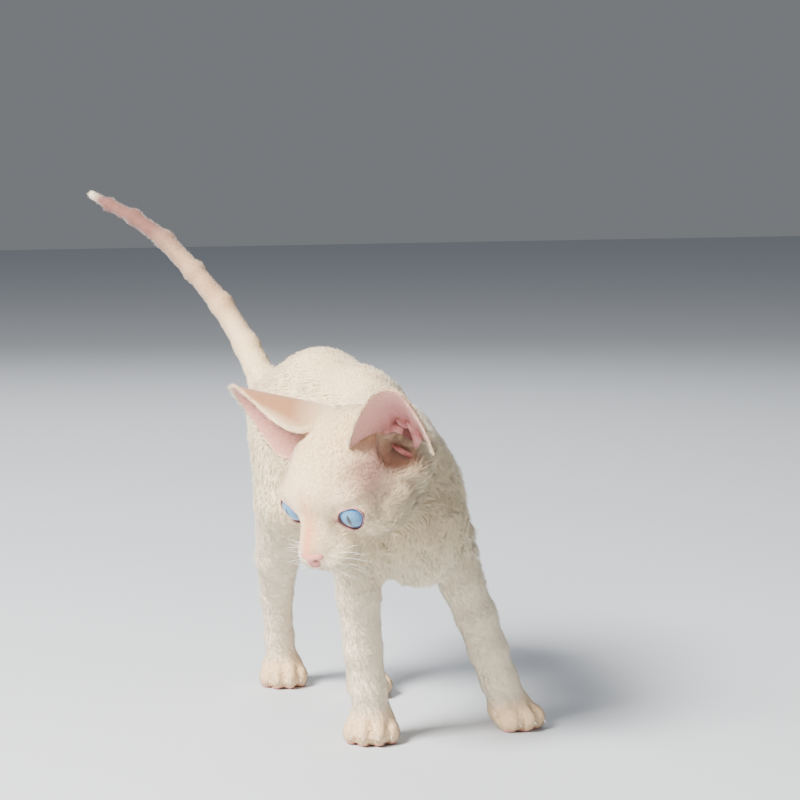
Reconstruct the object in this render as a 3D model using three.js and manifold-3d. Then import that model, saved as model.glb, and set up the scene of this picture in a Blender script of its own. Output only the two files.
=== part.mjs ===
// A short-coated kitten with large low-set ears, standing, its head turned to its right and its tail raised.
// Millimetres, +Z up. The kitten faces -Y, its own left is +X, and the soles of its paws are at z = 0.
import * as THREE from 'three';
import { mergeVertices } from 'three/addons/utils/BufferGeometryUtils.js';
import Module from 'manifold-3d';

const wasm = await Module();
wasm.setup();

// Driving sizes.
const gap = 0.3; // between two nodes that touch
const eyeRadius = 8.2;
const earWall = 1.5;
const lidThickness = 1.15;

const v3 = (x, y, z) => new THREE.Vector3(x, y, z);
const degrees = THREE.MathUtils.degToRad;
const turned = (x, y, z) => new THREE.Quaternion().setFromEuler(
  new THREE.Euler(degrees(x), degrees(y), degrees(z)),
);
const upright = v3(0, 0, 1);

// Distance fields: negative inside, in millimetres.
function bone(a, b, ra, rb) {
  const along = b.clone().sub(a);
  const lengthSq = along.lengthSq();
  const rel = new THREE.Vector3();
  return (p) => {
    rel.copy(p).sub(a);
    const t = THREE.MathUtils.clamp(rel.dot(along) / lengthSq, 0, 1);
    return rel.addScaledVector(along, -t).length() - THREE.MathUtils.lerp(ra, rb, t);
  };
}

function egg(centre, radii, turn = new THREE.Quaternion()) {
  const back = turn.clone().invert();
  const q = new THREE.Vector3();
  const s = new THREE.Vector3();
  return (p) => {
    q.copy(p).sub(centre).applyQuaternion(back);
    s.copy(q).divide(radii);
    const k = s.length();
    return (k * (k - 1)) / Math.max(s.divide(radii).length(), 1e-6);
  };
}

function blend(a, b, k) {
  const h = Math.max(k - Math.abs(a - b), 0) / k;
  return Math.min(a, b) - (h * h * k) / 4;
}

const join = (k, ...fields) => (p) => fields.reduce((d, f) => blend(d, f(p), k), 1e3);
const hollow = (k, field, cutter) => (p) => -blend(-field(p), cutter(p), k);

// A chain of bones through points, each [x, y, z, radius].
function limb(k, stations) {
  const bones = stations.slice(1).map((s, i) => {
    const r = stations[i];
    return bone(v3(r[0], r[1], r[2]), v3(s[0], s[1], s[2]), r[3], s[3]);
  });
  return join(k, ...bones);
}

// Torso, from the shoulders to the tail's root. The spine bends to the kitten's right behind the loins.
const torso = join(
  10,
  egg(v3(1.5, -40, 107), v3(23.5, 26, 35)), // rib cage behind the shoulders
  egg(v3(0, -58, 96), v3(20.5, 18, 24)), // breast
  egg(v3(7, -12, 115), v3(28, 34, 36)),
  egg(v3(12, 22, 125), v3(29, 33, 37)), // belly
  egg(v3(10, 50, 131), v3(29, 32, 37), turned(-8, 0, 12)), // loins
  egg(v3(4, 72, 132), v3(21, 19, 24)), // rump
);

const tailStations = [
  [3, 78, 136, 12],
  [-1, 88, 148.5, 7.8],
  [-5, 99.5, 165.5, 6.4],
  [-10.8, 114.3, 184.5, 5.8],
  [-17.5, 130.8, 200, 5.3],
  [-25, 149.3, 215.3, 4.9],
  [-32.6, 168.3, 225.9, 4.3],
  [-39.2, 184.5, 232.2, 3.5],
  [-44, 196, 237.2, 2.6],
];
const tail = limb(3, tailStations);

// Shoulder, elbow, wrist and paw of each leg.
const foreRight = [
  [-14, -42, 112, 15],
  [-21, -38, 86, 12.6],
  [-19.5, -38, 66, 10.2],
  [-16.5, -36, 42, 9],
  [-13, -35, 24, 8.6],
  [-11.5, -35, 14, 8.8],
];
const foreLeft = [
  [13.5, -41, 111, 13],
  [22.5, -40, 90, 12.4],
  [31, -41, 68, 10.4],
  [37.4, -42.7, 53, 9.6],
  [43, -44, 37, 9.2],
  [48.5, -44.5, 23, 8.8],
  [53.5, -44, 13, 9],
];
const hindRight = [
  [-4, 50, 124, 23],
  [-9, 46, 96, 17.5],
  [-7.5, 63, 68, 11.2],
  [0, 79, 46, 8.2],
  [4.6, 85.5, 25, 7.6],
  [6.8, 87, 13, 8.2],
];
const hindLeft = [
  [26, 54, 124, 23],
  [31, 42, 96, 17.5],
  [33, 53, 68, 10.6],
  [33, 63, 46, 7.8],
  [33, 57.5, 25, 7.2],
  [32.6, 51.5, 13, 7.6],
];
const legs = { foreRight, foreLeft, hindRight, hindLeft };
const legFields = Object.fromEntries(Object.entries(legs).map(([name, s]) => [name, limb(3, s)]));

// Paws: four toes in a fan over a flat sole.
const paws = {
  foreRight: { at: [-11, -34], heading: -30, width: 1.0 },
  foreLeft: { at: [57.5, -43], heading: 20, width: 1.0 },
  hindRight: { at: [7.6, 87], heading: -26, width: 0.92 },
  hindLeft: { at: [32.3, 47.6], heading: -8, width: 0.84 },
};
function pawField({ at, heading, width }) {
  const turn = degrees(heading);
  const place = (across, ahead, up) => {
    const local = v3(across * width, -ahead, up).applyAxisAngle(upright, turn);
    return local.add(v3(at[0], at[1], 0));
  };
  const spin = new THREE.Quaternion().setFromAxisAngle(upright, turn);
  const palm = egg(place(0, -2, 7.9), v3(10.6 * width, 10.5, 8.7), spin);
  const toes = [[-8.6, 3.4, 5.2], [-3.2, 7.2, 5.7], [3.2, 7.2, 5.7], [8.6, 3.4, 5.2]].map(([x, y, r]) =>
    egg(place(x, y, r * 0.95), v3(r * 0.86, r * 1.35, r * 1.12), spin));
  return join(3.2, palm, join(1.6, ...toes));
}
const pawFields = Object.fromEntries(Object.entries(paws).map(([name, p]) => [name, pawField(p)]));

// The head, in its own frame: x to its left, y backward, z up, centred between the eyes inside the skull.
const head = new THREE.Object3D();
head.position.set(-37.6, -59.9, 120.5);
head.rotation.set(degrees(38), 0, degrees(-69), 'ZYX');
head.updateMatrixWorld();
const toHead = head.matrixWorld.clone().invert();
const inHead = (x, y, z) => v3(x, y, z).applyMatrix4(head.matrixWorld);

const both = (make) => [1, -1].map(make);
const skull = join(
  7,
  egg(v3(0, 6, 5), v3(25, 28.5, 22)), // brain case
  egg(v3(0, -8, 6), v3(18.5, 18.5, 17)), // forehead
  ...both((s) => egg(v3(17.5 * s, 0, -9), v3(12.5, 18.5, 13.5))), // cheeks
  egg(v3(0, -21, -9), v3(10.5, 16, 9.5)), // muzzle bridge
  egg(v3(0, -19, -19), v3(11, 13, 7.5)), // chin and jaw
  egg(v3(0, 2, -14), v3(17, 22, 13)), // throat
);
const pads = join(3, ...both((s) => egg(v3(6.2 * s, -27, -15.5), v3(7.6, 8.4, 6.6))));
const noseBridge = bone(v3(0, -20, 1), v3(0, -31.2, -8.2), 6, 4.2);
const eyeCentre = (s) => v3(15 * s, -14.5, -0.5);
const brows = join(3, ...both((s) => egg(v3(15 * s, -14.5, 8), v3(8, 7, 5))));
const sockets = join(1, ...both((s) => egg(v3(17.5 * s, -24.5, -1), v3(7, 4.2, 6))));
const headLocal = hollow(4, join(5, skull, pads, noseBridge, brows), sockets);
const headPoint = new THREE.Vector3();
const headField = (p) => headLocal(headPoint.copy(p).applyMatrix4(toHead));

const neck = limb(6, [[-1, -37, 116, 22], [-9, -45, 121, 20.5], [-18, -52, 126, 19.5]]);
// The whole body in one blended skin.
const trunk = join(10, torso, neck);
const headless = (p) => {
  let d = blend(trunk(p), tail(p), 10);
  for (const name of Object.keys(legs)) {
    d = blend(d, blend(legFields[name](p), pawFields[name](p), 6), 9);
  }
  return d;
};
const body = (p) => blend(headless(p), headField(p), 10);

const welded = (geometry, tolerance = 1e-4) => {
  const bare = geometry.clone();
  bare.deleteAttribute('normal');
  bare.deleteAttribute('uv');
  return mergeVertices(bare, tolerance);
};

const solidOf = (geometry) => {
  const merged = welded(geometry, 1e-3);
  return new wasm.Manifold(new wasm.Mesh({
    numProp: 3,
    vertProperties: merged.attributes.position.array,
    triVerts: new Uint32Array(merged.index.array),
  }));
};

const geometryOf = (solid) => {
  const mesh = solid.getMesh();
  const position = new Float32Array(mesh.numVert * 3);
  for (let i = 0; i < mesh.numVert; i++) {
    position.set(mesh.vertProperties.subarray(i * mesh.numProp, i * mesh.numProp + 3), i * 3);
  }
  return new THREE.BufferGeometry()
    .setAttribute('position', new THREE.BufferAttribute(position, 3))
    .setIndex(new THREE.BufferAttribute(new Uint32Array(mesh.triVerts), 1));
};

const largest = (solid) => solid.decompose().sort((a, b) => b.volume() - a.volume())[0];

// The first crossing of the field's surface along a ray from inside.
function castOut(origin, direction, field, reach = 80) {
  const p = new THREE.Vector3();
  const at = (t) => field(p.copy(origin).addScaledVector(direction, t));
  let near = 0;
  let t = 0.5;
  while (t < reach && at(t) < 0) {
    near = t;
    t += Math.max(0.4, -at(t) * 0.7);
  }
  let far = t;
  for (let i = 0; i < 22; i++) {
    const mid = (near + far) / 2;
    if (at(mid) < 0) near = mid;
    else far = mid;
  }
  return origin.clone().addScaledVector(direction, near);
}

// A ball whose vertices are moved out to the surface. shape(direction) may crowd them where detail is.
function castBall(centre, detail, field, shape = (d) => d) {
  const ball = welded(new THREE.IcosahedronGeometry(1, detail));
  const at = ball.attributes.position;
  for (let i = 0; i < at.count; i++) {
    const d = shape(v3(at.getX(i), at.getY(i), at.getZ(i))).normalize();
    const q = castOut(centre, d, field);
    at.setXYZ(i, q.x, q.y, q.z);
  }
  return solidOf(ball);
}

// A cylinder bent along a curve, with its rings moved out to the field's surface.
function castTube(curve, rings, sides, field, from = 0, to = 1) {
  const tube = welded(new THREE.CylinderGeometry(1, 1, 1, sides, rings, false));
  const at = tube.attributes.position;
  const side = v3(1, 0, 0);
  for (let i = 0; i < at.count; i++) {
    const t = THREE.MathUtils.lerp(to, from, at.getY(i) + 0.5);
    const centre = curve.getPoint(t);
    if (at.getX(i) ** 2 + at.getZ(i) ** 2 < 0.1) {
      at.setXYZ(i, centre.x, centre.y, centre.z);
      continue;
    }
    const along = curve.getTangent(t);
    const u = side.clone().cross(along).normalize();
    const w = along.clone().cross(u);
    const d = w.multiplyScalar(at.getZ(i)).addScaledVector(u, at.getX(i)).normalize();
    const q = castOut(centre, d, field);
    at.setXYZ(i, q.x, q.y, q.z);
  }
  return solidOf(tube);
}

// A skin of quads over a grid, one vertex in each cell that the surface crosses.
function netOf(field, low, high, cell) {
  const count = high.clone().sub(low).divideScalar(cell).ceil().addScalar(1);
  const [nx, ny, nz] = [count.x, count.y, count.z];
  const id = (i, j, k) => i + nx * (j + ny * k);
  const value = new Float32Array(nx * ny * nz);
  const p = new THREE.Vector3();
  const eachCell = (visit, spare = 0) => {
    for (let k = 0; k < nz - spare; k++) {
      for (let j = 0; j < ny - spare; j++) {
        for (let i = 0; i < nx - spare; i++) visit(i, j, k);
      }
    }
  };
  eachCell((i, j, k) => {
    const rim = i === 0 || j === 0 || k === 0 || i === nx - 1 || j === ny - 1 || k === nz - 1;
    p.set(i, j, k).multiplyScalar(cell).add(low);
    value[id(i, j, k)] = rim ? cell : field(p);
  });
  const corners = [0, 1, 2, 3, 4, 5, 6, 7].map((n) => v3(n & 1, (n >> 1) & 1, n >> 2));
  const edges = [
    [0, 1], [2, 3], [4, 5], [6, 7],
    [0, 2], [1, 3], [4, 6], [5, 7],
    [0, 4], [1, 5], [2, 6], [3, 7],
  ];
  const vertexOf = new Map();
  const position = [];
  eachCell((i, j, k) => {
    const v = corners.map((c) => value[id(i + c.x, j + c.y, k + c.z)]);
    const inside = v.filter((x) => x < 0).length;
    if (inside === 0 || inside === 8) return;
    const mean = new THREE.Vector3();
    let crossings = 0;
    for (const [a, b] of edges) {
      if (v[a] < 0 === v[b] < 0) continue;
      mean.add(corners[a].clone().lerp(corners[b], v[a] / (v[a] - v[b])));
      crossings++;
    }
    mean.divideScalar(crossings);
    vertexOf.set(id(i, j, k), position.length / 3);
    mean.add(v3(i, j, k)).multiplyScalar(cell).add(low);
    position.push(mean.x, mean.y, mean.z);
  }, 1);
  const index = [];
  const quad = (cells, flip) => {
    const [a, b, c, d] = cells.map((cellId) => vertexOf.get(cellId));
    index.push(...(flip ? [a, c, b, a, d, c] : [a, b, c, a, c, d]));
  };
  eachCell((i, j, k) => {
    const here = value[id(i, j, k)] < 0;
    const changes = (n) => here !== value[n] < 0;
    if (j && k && changes(id(i + 1, j, k))) {
      quad([id(i, j - 1, k - 1), id(i, j, k - 1), id(i, j, k), id(i, j - 1, k)], !here);
    }
    if (i && k && changes(id(i, j + 1, k))) {
      quad([id(i - 1, j, k - 1), id(i - 1, j, k), id(i, j, k), id(i, j, k - 1)], !here);
    }
    if (i && j && changes(id(i, j, k + 1))) {
      quad([id(i - 1, j - 1, k), id(i, j - 1, k), id(i, j, k), id(i - 1, j, k)], !here);
    }
  }, 1);
  const geometry = new THREE.BufferGeometry()
    .setAttribute('position', new THREE.BufferAttribute(new Float32Array(position), 3))
    .setIndex(index);
  return solidOf(geometry);
}

function blockAlong(point, normal, near, far, half) {
  const block = new THREE.BoxGeometry(2 * half, 2 * half, far - near);
  block.translate(0, 0, (near + far) / 2);
  block.applyQuaternion(new THREE.Quaternion().setFromUnitVectors(upright, normal.clone().normalize()));
  block.translate(point.x, point.y, point.z);
  return solidOf(block);
}
function boxBetween(low, high) {
  const size = high.clone().sub(low);
  const block = new THREE.BoxGeometry(size.x, size.y, size.z);
  block.translate(...low.clone().add(high).multiplyScalar(0.5).toArray());
  return solidOf(block);
}
const half = gap / 2;
const localAxis = (x, y, z) => v3(x, y, z).transformDirection(head.matrixWorld);

// Planes between nodes. Each cut gives the side beyond the plane and a slightly larger one to take away.
const cutAt = (point, normal, size = 160) => ({
  beyond: blockAlong(point, normal, half, size, size),
  taken: blockAlong(point, normal, -half, size, size),
});
const collar = cutAt(v3(0, -50, 121), v3(-0.134, -0.604, 0.785));
const nape = cutAt(inHead(0, 20, -8), localAxis(0, -0.758, 0.653));

// Each leg is cut from the torso by a plane inside its own column, and from its paw at the wrist's height.
const legCuts = {
  foreRight: {
    point: v3(-21, -43, 77),
    normal: v3(-0.42, 0, -0.9),
    low: v3(-60, -90, -5),
    high: v3(10, 0, 100),
    wrist: 21,
  },
  foreLeft: {
    point: v3(28, -43, 78),
    normal: v3(0.42, 0, -0.9),
    low: v3(10, -95, -5),
    high: v3(95, 0, 100),
    wrist: 21,
  },
  hindRight: {
    point: v3(-7, 52, 92),
    normal: v3(-0.45, 0, -0.9),
    low: v3(-60, 10, -5),
    high: v3(14, 120, 110),
    wrist: 19,
  },
  hindLeft: {
    point: v3(34, 52, 92),
    normal: v3(0.45, 0, -0.9),
    low: v3(14, 10, -5),
    high: v3(85, 120, 110),
    wrist: 19,
  },
};

// Torso and neck come from one net each, then the legs, the tail and the head's side are cut off.
let torsoSolid = netOf(headless, v3(-46, -92, 46), v3(56, 104, 176), 6.2).subtract(collar.taken);
const legSolids = {};
const pawSolids = {};
for (const [name, { point, normal, low, high, wrist }] of Object.entries(legCuts)) {
  const column = boxBetween(low, high);
  const side = cutAt(point, normal);
  torsoSolid = torsoSolid.subtract(side.taken.intersect(column));
  const pad = v3(2, 2, 0);
  const from = low.clone().add(pad);
  from.z = wrist - 6;
  const leg = netOf(headless, from, high.clone().sub(pad), 4.6);
  const below = boxBetween(v3(-100, -120, -20), v3(120, 150, wrist + half));
  const inner = boxBetween(low.clone().addScalar(half), high.clone().addScalar(-half));
  legSolids[name] = largest(leg.intersect(side.beyond).intersect(inner).subtract(below));
  const foot = (p) => blend(legFields[name](p), pawFields[name](p), 6);
  const at = paws[name].at;
  const slice = boxBetween(v3(-100, -120, 0), v3(120, 150, wrist - half));
  const spread = (d) => d.setZ(d.z * 0.75 - 0.12);
  pawSolids[name] = largest(castBall(v3(at[0], at[1], 7.5), 4, foot, spread).intersect(slice));
}

// The tail, in three lengths.
const tailPoints = tailStations.map(([x, y, z]) => v3(x, y, z));
const tipAlong = tailPoints.at(-1).clone().sub(tailPoints.at(-2)).normalize();
tailPoints.push(tailPoints.at(-1).clone().addScaledVector(tipAlong, 3.7));
const tailCurve = new THREE.CatmullRomCurve3(tailPoints);
const tailField = (p) => blend(trunk(p), tail(p), 10);
const tailCuts = [0.09, 0.4, 0.7].map((t) => cutAt(tailCurve.getPoint(t), tailCurve.getTangent(t), 110));
const tailWhole = castTube(tailCurve, 28, 14, tailField, 0.06, 1);
torsoSolid = torsoSolid.subtract(tailCuts[0].taken);
const tailSolids = [
  largest(tailWhole.intersect(tailCuts[0].beyond).subtract(tailCuts[1].taken)),
  largest(tailWhole.intersect(tailCuts[1].beyond).subtract(tailCuts[2].taken)),
  largest(tailWhole.intersect(tailCuts[2].beyond)),
];

const neckSolid = largest(
  netOf(body, v3(-59, -101, 73), v3(44, 0, 168), 4.7).intersect(collar.beyond).subtract(nape.taken),
);

// The head with its lids, and the pockets that the eyes and the nose leather sit in.
const lidRadius = eyeRadius + gap + lidThickness;
const lids = join(2, ...both((s) => egg(eyeCentre(s), v3(lidRadius, lidRadius, lidRadius))));
const canals = join(1, ...both((s) => egg(v3(25.5 * s, 12, 11), v3(8, 10, 9))));
const finished = (p) => {
  const local = headPoint.copy(p).applyMatrix4(toHead);
  const face = hollow(3, (q) => blend(headLocal(q), lids(q), 2.5), canals);
  return blend(face(local), neck(p), 10);
};
const headShape = (d) => d.addScaledVector(localAxis(0, -1, -0.2), 0.3);
const headAt = inHead(0, -3, -1);
let headSolid = castBall(headAt, 11, finished, headShape);
const headGrown = castBall(headAt, 11, (p) => finished(p) - gap, headShape);
torsoSolid = torsoSolid.subtract(headGrown.intersect(nape.taken));

const eyeSolids = {};
for (const [name, s] of [['eye_left', 1], ['eye_right', -1]]) {
  const centre = eyeCentre(s).applyMatrix4(head.matrixWorld);
  const ball = new THREE.SphereGeometry(eyeRadius, 16, 10).translate(...centre.toArray());
  const pocket = new THREE.SphereGeometry(eyeRadius + gap, 16, 10).translate(...centre.toArray());
  const gaze = v3(0.22 * s, -0.96, 0.1).normalize();
  const wide = 6.1;
  const almond = new THREE.Shape();
  almond.moveTo(-wide, -0.9);
  almond.bezierCurveTo(-wide * 0.5, -7.6, wide * 0.72, -8, wide, 0.8);
  almond.bezierCurveTo(wide * 0.7, 6.8, -wide * 0.5, 6.8, -wide, -0.9);
  const opening = new THREE.ExtrudeGeometry(almond, { depth: 22, bevelEnabled: false, curveSegments: 7 });
  if (s < 0) opening.scale(-1, 1, 1);
  if (s < 0) opening.setIndex([...Array(opening.attributes.position.count).keys()].reverse());
  const across = upright.clone().cross(gaze).normalize();
  const frame = new THREE.Matrix4().makeBasis(across, gaze.clone().cross(across), gaze);
  frame.setPosition(eyeCentre(s));
  opening.applyMatrix4(frame).applyMatrix4(head.matrixWorld);
  headSolid = headSolid.subtract(solidOf(pocket)).subtract(solidOf(opening));
  eyeSolids[name] = solidOf(ball);
}

const noseField = (grow) => {
  const f = join(1.6, egg(v3(0, -34.4, -9.8), v3(5.2, 3.3, 2.8)), egg(v3(0, -35, -12.4), v3(2.8, 2.8, 3)));
  return (p) => f(headPoint.copy(p).applyMatrix4(toHead)) - grow;
};
const noseAt = inHead(0, -34.8, -10.9);
let noseSolid = castBall(noseAt, 4, noseField(0));
headSolid = headSolid.subtract(castBall(noseAt, 4, noseField(gap)));
for (const s of [1, -1]) {
  const nostril = new THREE.CylinderGeometry(0.75, 0.5, 4, 8).rotateX(degrees(80)).rotateZ(degrees(28 * s));
  nostril.translate(2.3 * s, -37.6, -10.9).applyMatrix4(head.matrixWorld);
  noseSolid = largest(noseSolid.subtract(solidOf(nostril)));
}

// The line of the mouth: a fine groove laid on the surface.
const onHead = (x, y, z) => castOut(headAt, inHead(x, y, z).sub(headAt).normalize(), finished);
function groove(points, size) {
  const path = new THREE.CatmullRomCurve3(points.map((q) => onHead(...q)));
  const profile = new THREE.Shape([0, 1, 2, 3].map((i) => {
    const turn = degrees(90 * i);
    return new THREE.Vector2(size * Math.cos(turn), size * Math.sin(turn));
  }));
  const settings = { steps: points.length * 2, extrudePath: path, bevelEnabled: false };
  return solidOf(new THREE.ExtrudeGeometry(profile, settings));
}
headSolid = headSolid.subtract(groove([[0, -35, -13.5], [0, -35, -16], [0, -34, -18.6]], 0.55));
headSolid = headSolid.subtract(groove([
  [-13, -17, -19], [-10, -24, -20.6], [-6, -30, -20.8], [-2.5, -33, -19.2], [0, -34, -18.4],
  [2.5, -33, -19.2], [6, -30, -20.8], [10, -24, -20.6], [13, -17, -19],
], 0.75));
headSolid = largest(headSolid.intersect(nape.beyond));

// An ear: a leaf bent into a cup, rising from its base toward its tip with its opening to the front.
function ear({ base, tip, front, width, cup, sink, curl }) {
  const leaf = welded(new THREE.SphereGeometry(1, 22, 15));
  const along = tip.clone().sub(base);
  const height = along.length();
  along.normalize();
  const ahead = front.clone().addScaledVector(along, -front.dot(along)).normalize();
  const across = along.clone().cross(ahead);
  const at = leaf.attributes.position;
  for (let i = 0; i < at.count; i++) {
    const [x, y, z] = [at.getX(i), at.getY(i), at.getZ(i)];
    const rise = (y + 1) / 2;
    const u = x * (1 - 0.3 * y);
    const bend = cup * u * u * (1 - 0.3 * rise) + curl * rise * rise;
    const thick = Math.sign(z) * Math.sqrt(Math.abs(z)) * earWall / 1.6;
    const q = base.clone()
      .addScaledVector(along, rise * (height + sink) - sink)
      .addScaledVector(across, u * width)
      .addScaledVector(ahead, bend + thick);
    q.applyMatrix4(head.matrixWorld);
    at.setXYZ(i, q.x, q.y, q.z);
  }
  return largest(solidOf(leaf).subtract(headGrown));
}
const ears = {
  ear_left: ear({
    base: v3(25.5, 21.5, 13.5),
    tip: v3(40.5, 8, 44),
    front: v3(0.1, -0.9, -0.36),
    width: 18,
    cup: 18,
    sink: 10,
    curl: -2,
  }),
  ear_right: ear({
    base: v3(-22, 23, 19),
    tip: v3(-51, 9.5, 37),
    front: v3(0.17, -0.9, -0.39),
    width: 17,
    cup: 22,
    sink: 10,
    curl: -2,
  }),
};

const looks = {
  coat: { color: '#ece0d2', roughness: 0.9, metalness: 0 },
  face: { color: '#e9d9cb', roughness: 0.9, metalness: 0 },
  ear: { color: '#cfa596', roughness: 0.75, metalness: 0 },
  eye: { color: '#86b7d8', roughness: 0.12, metalness: 0 },
  nose: { color: '#d58f86', roughness: 0.5, metalness: 0 },
  paw: { color: '#e8d8c4', roughness: 0.85, metalness: 0 },
  tail: { color: '#dccab6', roughness: 0.9, metalness: 0 },
};

const kitten = new THREE.Group();
kitten.name = 'kitten';
function put(name, solid, look) {
  const mesh = new THREE.Mesh(geometryOf(solid), new THREE.MeshStandardMaterial(looks[look]));
  mesh.name = name;
  kitten.add(mesh);
}
put('torso', largest(torsoSolid), 'coat');
put('neck', neckSolid, 'coat');
put('head', headSolid, 'face');
put('ear_left', ears.ear_left, 'ear');
put('ear_right', ears.ear_right, 'ear');
put('eye_left', eyeSolids.eye_left, 'eye');
put('eye_right', eyeSolids.eye_right, 'eye');
put('nose', noseSolid, 'nose');
for (const pair of ['fore', 'hind']) {
  for (const side of ['Left', 'Right']) {
    put(`${pair}leg_${side.toLowerCase()}`, legSolids[pair + side], 'coat');
    put(`${pair}paw_${side.toLowerCase()}`, pawSolids[pair + side], 'paw');
  }
}
put('tail_root', tailSolids[0], 'tail');
put('tail_middle', tailSolids[1], 'tail');
put('tail_tip', tailSolids[2], 'tail');

// The origin goes to the middle of the footprint, on the floor.
const whole = new THREE.Box3().setFromObject(kitten);
const middle = whole.getCenter(new THREE.Vector3());
for (const mesh of kitten.children) mesh.geometry.translate(-middle.x, -middle.y, 0);

export default kitten;
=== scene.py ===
import math

import bmesh
import bpy
import numpy as np
from mathutils import Matrix, Vector


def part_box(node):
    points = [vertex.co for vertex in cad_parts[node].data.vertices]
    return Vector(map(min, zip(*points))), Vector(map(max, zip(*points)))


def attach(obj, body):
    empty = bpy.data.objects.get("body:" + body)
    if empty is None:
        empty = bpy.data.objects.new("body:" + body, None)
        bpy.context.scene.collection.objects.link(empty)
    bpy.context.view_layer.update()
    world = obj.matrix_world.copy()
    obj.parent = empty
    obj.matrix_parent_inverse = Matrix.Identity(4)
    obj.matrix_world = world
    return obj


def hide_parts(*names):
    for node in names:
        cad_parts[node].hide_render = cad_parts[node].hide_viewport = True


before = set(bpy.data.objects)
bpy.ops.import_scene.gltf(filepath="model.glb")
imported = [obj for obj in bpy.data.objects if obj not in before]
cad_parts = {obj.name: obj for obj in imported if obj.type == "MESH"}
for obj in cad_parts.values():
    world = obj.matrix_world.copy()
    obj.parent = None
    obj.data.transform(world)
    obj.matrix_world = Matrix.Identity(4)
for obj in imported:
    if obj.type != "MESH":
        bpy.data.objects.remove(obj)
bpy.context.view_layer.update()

# the kitten's own measures, in millimetres, before the part was centred on its footprint
headPlace = {
    "centre": (-37.6, -59.9, 120.5),
    "turn": -69.0,  # degrees to its right
    "nod": 38.0,  # degrees down
}
eyeSpec = {
    "radius": 8.2,
    "centre": (15.0, -14.5, -0.5),  # mirrored for the other eye
    "gaze": (0.22, -0.96, 0.10),
    "halfWidth": 6.1,
    "topLid": 4.9,
    "lowLid": 6.3,
    "iris": 6.35,
    "slit": (0.72, 2.7),  # half width and half height of the pupil
    "slant": 0.16,
    "topCurve": (3.0, 0.8),
    "lowCurve": (2.2, 0.66),
    "opensFrom": 3,  # the lids' opening starts this far in front of the middle
    "play": 0.15,
    "lidWall": 1.45,
}


tiny = 1e-9


def newObject(name, data):
    made = bpy.data.objects.new(name, data)
    bpy.context.scene.collection.objects.link(made)
    return made


def unit(v):
    v = np.asarray(v, float)
    return v / np.linalg.norm(v)


def size(v):
    return np.linalg.norm(v, axis=-1)


def fade(x):
    # a share, held between 0 and 1
    return np.clip(x, 0, 1)


def turned(*turns):
    # turns in degrees about named axes, the last one made first
    spin = Matrix.Identity(3)
    for axis, degrees in turns:
        spin = spin @ Matrix.Rotation(math.radians(degrees), 3, axis)
    return np.array(spin)


# columns: the head's left, back and up
headAxes = turned(("Z", headPlace["turn"]), ("X", headPlace["nod"]))
headCentre = np.array(headPlace["centre"])


def toHead(p):
    return (p - headCentre) @ headAxes


def fromHead(q):
    return np.asarray(q, float) @ headAxes.T + headCentre


# the eye's node says how far the part was moved when it was centred
low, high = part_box("eye_left")
shift = (np.array(low) + np.array(high)) * 500 - fromHead(eyeSpec["centre"])
print("shift", shift)


def toScene(p):
    return (np.asarray(p, float) + shift) / 1000


def fromScene(p):
    return np.asarray(p, float) * 1000 - shift


# distances to simple forms, negative inside
def egg(centre, radii, axes=None):
    c = np.array(centre, float)
    r = np.array(radii, float)
    m = np.eye(3) if axes is None else axes

    def field(p):
        q = (p - c) @ m / r
        k = np.sqrt((q * q).sum(-1))
        return k * (k - 1) / np.maximum(np.sqrt(((q / r) ** 2).sum(-1)), 1e-6)

    return field


def bone(a, b, ra, rb):
    a = np.array(a, float)
    along = np.array(b, float) - a

    def field(p):
        t = fade((p - a) @ along / (along @ along))
        return size(p - a - t[..., None] * along) - (ra + (rb - ra) * t)

    return field


def blend(a, b, k):
    h = np.maximum(k - np.abs(a - b), 0) / k
    return np.minimum(a, b) - h * h * k / 4


def carve(a, b, k):
    return -blend(-a, b, k)


def join(k, *fields):
    def field(p):
        d = fields[0](p)
        for f in fields[1:]:
            d = blend(d, f(p), k)
        return d

    return field


def limb(k, stations):
    pairs = zip(stations, stations[1:])
    return join(k, *[bone(a[:3], b[:3], a[3], b[3]) for a, b in pairs])


# the same forms as the solids
torso = join(
    10,
    egg((1.5, -40, 107), (23.5, 26, 35)),
    egg((0, -58, 96), (20.5, 18, 24)),
    egg((7, -12, 115), (28, 34, 36)),
    egg((12, 22, 125), (29, 33, 37)),
    egg((10, 50, 131), (29, 32, 37), turned(("X", -8), ("Z", 12))),
    egg((4, 72, 132), (21, 19, 24)),
)
tailStations = [
    (3, 78, 136, 12),
    (-1, 88, 148.5, 7.8),
    (-5, 99.5, 165.5, 6.4),
    (-10.8, 114.3, 184.5, 5.8),
    (-17.5, 130.8, 200, 5.3),
    (-25, 149.3, 215.3, 4.9),
    (-32.6, 168.3, 225.9, 4.3),
    (-39.2, 184.5, 232.2, 3.5),
    (-44, 196, 237.2, 2.6),
]
legStations = {
    "foreRight": [(-14, -42, 112, 15), (-21, -38, 86, 12.6), (-19.5, -38, 66, 10.2), (-16.5, -36, 42, 9),
                  (-13, -35, 24, 8.6), (-11.5, -35, 14, 8.8)],
    "foreLeft": [(13.5, -41, 111, 13), (22.5, -40, 90, 12.4), (31, -41, 68, 10.4), (37.4, -42.7, 53, 9.6),
                 (43, -44, 37, 9.2), (48.5, -44.5, 23, 8.8), (53.5, -44, 13, 9)],
    "hindRight": [(-4, 50, 124, 23), (-9, 46, 96, 17.5), (-7.5, 63, 68, 11.2), (0, 79, 46, 8.2),
                  (4.6, 85.5, 25, 7.6), (6.8, 87, 13, 8.2)],
    "hindLeft": [(26, 54, 124, 23), (31, 42, 96, 17.5), (33, 53, 68, 10.6), (33, 63, 46, 7.8),
                 (33, 57.5, 25, 7.2), (32.6, 51.5, 13, 7.6)],
}
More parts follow.
